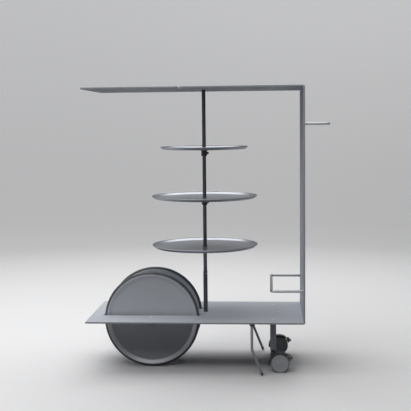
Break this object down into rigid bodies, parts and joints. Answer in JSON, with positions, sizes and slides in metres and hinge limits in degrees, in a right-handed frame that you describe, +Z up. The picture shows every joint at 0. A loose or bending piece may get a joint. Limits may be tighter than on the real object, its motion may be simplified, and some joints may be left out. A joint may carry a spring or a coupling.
{
  "type": "bar cart",
  "caption": "Bar cart of one folded sheet on two large wheels and two swivel casters, with height-adjustable round trays on a pole, a bottle guard, a push handle and a stand.",
  "frame": {"origin": "middle of the overall box, on the floor", "axes": "+X along the cart towards the push handle, +Y across it towards the back, +Z up"},
  "size_m": [0.89, 0.4, 1.047],
  "materials": {
    "coated_sheet": "satin",
    "dark_coated_metal": "satin",
    "bright_steel": "satin",
    "turned_aluminium": "satin",
    "bush_plastic": "matte",
    "pole_steel": "satin",
    "black_plastic": "matte",
    "rubber": "matte",
    "grey_plastic": "satin",
    "dark_plastic": "matte",
    "dark_steel": "matte"
  },
  "bodies": {
    "cart_frame": {"folded_frame": "coated_sheet", "axle_blocks": "dark_coated_metal", "main_axle": "bright_steel", "axle_spacer": "bright_steel", "axle_block_screws": "bright_steel", "lower_pole": "pole_steel", "upper_pole": "pole_steel", "pole_lock_screw": "bright_steel", "pole_end_screws": "bright_steel", "bottle_guard": "bright_steel", "push_handle": "bright_steel", "rail_screws": "bright_steel", "front_caster_leg": "dark_coated_metal", "rear_caster_leg": "dark_coated_metal", "caster_leg_screws": "bright_steel", "stand_saddles": "dark_coated_metal"},
    "front_wheel": {"front_wheel_disc": "turned_aluminium", "front_wheel_tyre": "rubber", "front_wheel_hub": "turned_aluminium", "front_wheel_bush": "bush_plastic", "front_wheel_rivets": "bright_steel"},
    "rear_wheel": {"rear_wheel_disc": "turned_aluminium", "rear_wheel_tyre": "rubber", "rear_wheel_hub": "turned_aluminium", "rear_wheel_bush": "bush_plastic", "rear_wheel_rivets": "bright_steel"},
    "top_collar": {"top_tray_collar": "black_plastic"},
    "top_tray_plate": {"top_tray": "turned_aluminium", "top_tray_hub": "turned_aluminium"},
    "top_knob": {"top_tray_knob": "black_plastic"},
    "middle_collar": {"middle_tray_collar": "black_plastic"},
    "middle_tray_plate": {"middle_tray": "turned_aluminium", "middle_tray_hub": "turned_aluminium"},
    "middle_knob": {"middle_tray_knob": "black_plastic"},
    "bottom_collar": {"bottom_tray_collar": "black_plastic"},
    "bottom_tray_plate": {"bottom_tray": "turned_aluminium", "bottom_tray_hub": "turned_aluminium"},
    "bottom_knob": {"bottom_tray_knob": "black_plastic"},
    "front_swivel": {"front_caster_hood": "dark_plastic", "front_caster_stem": "dark_steel"},
    "front_wheelset": {"front_caster_wheels": "grey_plastic", "front_caster_tyres": "rubber", "front_caster_axle": "bright_steel"},
    "front_brake": {"front_brake_lever": "dark_plastic", "front_brake_pin": "bright_steel"},
    "rear_swivel": {"rear_caster_hood": "dark_plastic", "rear_caster_stem": "dark_steel"},
    "rear_wheelset": {"rear_caster_wheels": "grey_plastic", "rear_caster_tyres": "rubber", "rear_caster_axle": "bright_steel"},
    "rear_brake": {"rear_brake_lever": "dark_plastic", "rear_brake_pin": "bright_steel"},
    "stand": {"parking_stand": "pole_steel", "stand_tips": "rubber"}
  },
  "joints": [
    {"name": "front_wheel_spin", "type": "hinge", "parent": "cart_frame", "child": "front_wheel", "pos_m": [-0.216, -0.064, 0.18], "axis": [0, 1, 0], "continuous": true},
    {"name": "rear_wheel_spin", "type": "hinge", "parent": "cart_frame", "child": "rear_wheel", "pos_m": [-0.216, 0.064, 0.18], "axis": [0, 1, 0], "continuous": true},
    {"name": "top_tray_height", "type": "slide", "parent": "cart_frame", "child": "top_collar", "axis": [0, 0, 1], "range_m": [-0.05, 0.05]},
    {"name": "top_tray_turn", "type": "hinge", "parent": "top_collar", "child": "top_tray_plate", "pos_m": [-0.017, 0, 0.818], "axis": [0, 0, 1], "continuous": true},
    {"name": "top_knob_travel", "type": "slide", "parent": "top_collar", "child": "top_knob", "axis": [1, 0, 0], "range_m": [0, 0.002]},
    {"name": "middle_tray_height", "type": "slide", "parent": "cart_frame", "child": "middle_collar", "axis": [0, 0, 1], "range_m": [-0.05, 0.05]},
    {"name": "middle_tray_turn", "type": "hinge", "parent": "middle_collar", "child": "middle_tray_plate", "pos_m": [-0.017, 0, 0.633], "axis": [0, 0, 1], "continuous": true},
    {"name": "middle_knob_travel", "type": "slide", "parent": "middle_collar", "child": "middle_knob", "axis": [1, 0, 0], "range_m": [0, 0.002]},
    {"name": "bottom_tray_height", "type": "slide", "parent": "cart_frame", "child": "bottom_collar", "axis": [0, 0, 1], "range_m": [-0.05, 0.05]},
    {"name": "bottom_tray_turn", "type": "hinge", "parent": "bottom_collar", "child": "bottom_tray_plate", "pos_m": [-0.017, 0, 0.448], "axis": [0, 0, 1], "continuous": true},
    {"name": "bottom_knob_travel", "type": "slide", "parent": "bottom_collar", "child": "bottom_knob", "axis": [1, 0, 0], "range_m": [0, 0.002]},
    {"name": "front_caster_swivel", "type": "hinge", "parent": "cart_frame", "child": "front_swivel", "pos_m": [0.24, -0.139, 0.09], "axis": [0, 0, 1], "continuous": true},
    {"name": "front_caster_roll", "type": "hinge", "parent": "front_swivel", "child": "front_wheelset", "pos_m": [0.265, -0.139, 0.034], "axis": [0, 1, 0], "continuous": true},
    {"name": "front_brake_press", "type": "hinge", "parent": "front_swivel", "child": "front_brake", "pos_m": [0.29888, -0.139, 0.06047], "axis": [0, 1, 0], "range_deg": [0, 12]},
    {"name": "rear_caster_swivel", "type": "hinge", "parent": "cart_frame", "child": "rear_swivel", "pos_m": [0.24, 0.139, 0.09], "axis": [0, 0, 1], "continuous": true},
    {"name": "rear_caster_roll", "type": "hinge", "parent": "rear_swivel", "child": "rear_wheelset", "pos_m": [0.265, 0.139, 0.034], "axis": [0, 1, 0], "continuous": true},
    {"name": "rear_brake_press", "type": "hinge", "parent": "rear_swivel", "child": "rear_brake", "pos_m": [0.29888, 0.139, 0.06047], "axis": [0, 1, 0], "range_deg": [0, 12]},
    {"name": "stand_fold", "type": "hinge", "parent": "cart_frame", "child": "stand", "pos_m": [0.163, 0, 0.184], "axis": [0, 1, 0], "range_deg": [0, 90]}
  ]
}
